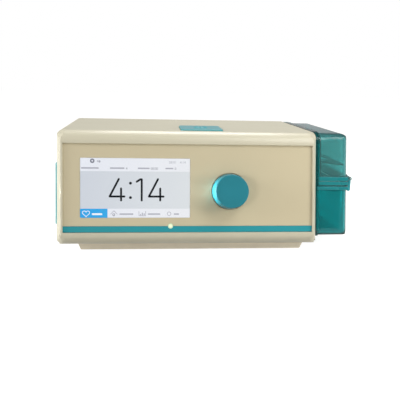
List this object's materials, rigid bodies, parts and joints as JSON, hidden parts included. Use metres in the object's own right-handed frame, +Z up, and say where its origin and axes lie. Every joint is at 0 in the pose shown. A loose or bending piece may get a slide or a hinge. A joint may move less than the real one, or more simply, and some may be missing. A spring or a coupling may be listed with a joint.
{
  "type": "bilevel airway pressure machine",
  "caption": "Bedside bilevel airway pressure machine with leaning display front, press-and-turn knob, top start button and a docked translucent water chamber.",
  "frame": {"origin": "centre of the bounding box at the table plane under the feet", "axes": "+X to the right seen from the front, towards the water chamber; +Y from the front to the back; +Z up"},
  "size_m": [0.2734, 0.1814, 0.1071],
  "materials": {
    "case_cream": "satin",
    "base_cream": "fine matt",
    "feet": "matt",
    "steel_screws": "satin",
    "fascia_cream": "smooth matt",
    "teal_trim": "gloss",
    "lamp_lens": "translucent",
    "display_glass": "clear",
    "lcd": "matt",
    "circuit_board": "solder mask",
    "encoder_metal": "satin",
    "black_parts": "matt",
    "shaft_steel": "bright",
    "teal_knob": "satin gloss",
    "button_teal": "satin gloss",
    "cover_teal": "satin gloss",
    "filter_foam": "open foam",
    "inner_plastic": "moulded",
    "motor_can": "anodised",
    "impeller_white": "gloss",
    "soft_grey": "matt",
    "heater_aluminium": "brushed",
    "tub_teal": "tinted clear plastic",
    "lid_teal": "tinted clear plastic",
    "clear_silicone": "translucent",
    "cone_white": "gloss",
    "latch_teal": "gloss"
  },
  "bodies": {
    "case": {"upper_case": "case_cream", "base_tray": "base_cream", "rubber_feet": "feet", "case_screws": "steel_screws", "fascia_panel": "fascia_cream", "trim_stripe": "teal_trim", "status_lamp": "lamp_lens", "display_window": "display_glass", "lcd_module": "lcd", "control_board": "circuit_board", "encoder_body": "encoder_metal", "button_board": "circuit_board", "button_switch": "black_parts", "filter_foam": "filter_foam", "inlet_muffler": "inner_plastic", "muffler_foam": "filter_foam", "blower_base": "inner_plastic", "blower_cover": "inner_plastic", "blower_motor": "motor_can", "blower_mounts": "soft_grey", "pressure_duct": "soft_grey", "flow_sensor": "black_parts", "power_board": "circuit_board", "power_inlet": "black_parts", "dock_plate": "base_cream", "dock_seal": "soft_grey", "heater_plate": "heater_aluminium", "heater_carrier": "black_parts"},
    "knob_plunger": {"encoder_plunger": "black_parts"},
    "knob": {"encoder_shaft": "shaft_steel", "control_knob": "teal_knob"},
    "button": {"start_button": "button_teal"},
    "rotor": {"motor_shaft": "shaft_steel", "impeller": "impeller_white"},
    "filter_door": {"filter_cover": "cover_teal"},
    "chamber": {"water_tub": "tub_teal", "tub_heat_plate": "heater_aluminium", "hinge_pin": "shaft_steel", "lid_seal": "clear_silicone"},
    "lid": {"chamber_lid": "lid_teal", "chamber_baffle": "tub_teal", "outlet_cone": "cone_white", "latch_pin": "shaft_steel"},
    "latch": {"lid_latch": "latch_teal"}
  },
  "joints": [
    {"name": "chamber_slide", "type": "slide", "parent": "case", "child": "chamber", "axis": [1, 0, 0], "range_m": [0, 0.045]},
    {"name": "lid_hinge", "type": "hinge", "parent": "chamber", "child": "lid", "pos_m": [0.10375, 0.02271, 0.1036], "axis": [0, -1, 0], "range_deg": [0, 95]},
    {"name": "latch_hinge", "type": "hinge", "parent": "lid", "child": "latch", "pos_m": [0.13555, -0.00229, 0.0625], "axis": [0, -1, 0], "range_deg": [0, 14], "stiffness_Nm_per_rad": 0.02, "springref_deg": -17.19},
    {"name": "filter_door_hinge", "type": "hinge", "parent": "case", "child": "filter_door", "pos_m": [-0.13595, -0.02329, 0.0232], "axis": [0, -1, 0], "range_deg": [0, 100]},
    {"name": "knob_press", "type": "slide", "parent": "case", "child": "knob_plunger", "axis": [0, 0.9781, -0.2079], "range_m": [0, 0.0006], "stiffness_N_per_m": 3000, "springref_m": -0.0006},
    {"name": "knob_turn", "type": "hinge", "parent": "knob_plunger", "child": "knob", "pos_m": [0.01675, -0.07362, 0.05487], "axis": [0, -0.9781, 0.2079], "continuous": true},
    {"name": "button_press", "type": "slide", "parent": "case", "child": "button", "axis": [0, 0, -1], "range_m": [0, 0.0015], "stiffness_N_per_m": 1500, "springref_m": -0.0006},
    {"name": "impeller_spin", "type": "hinge", "parent": "case", "child": "rotor", "pos_m": [-0.06345, 0.01871, 0.034], "axis": [0, 0, 1], "continuous": true}
  ]
}
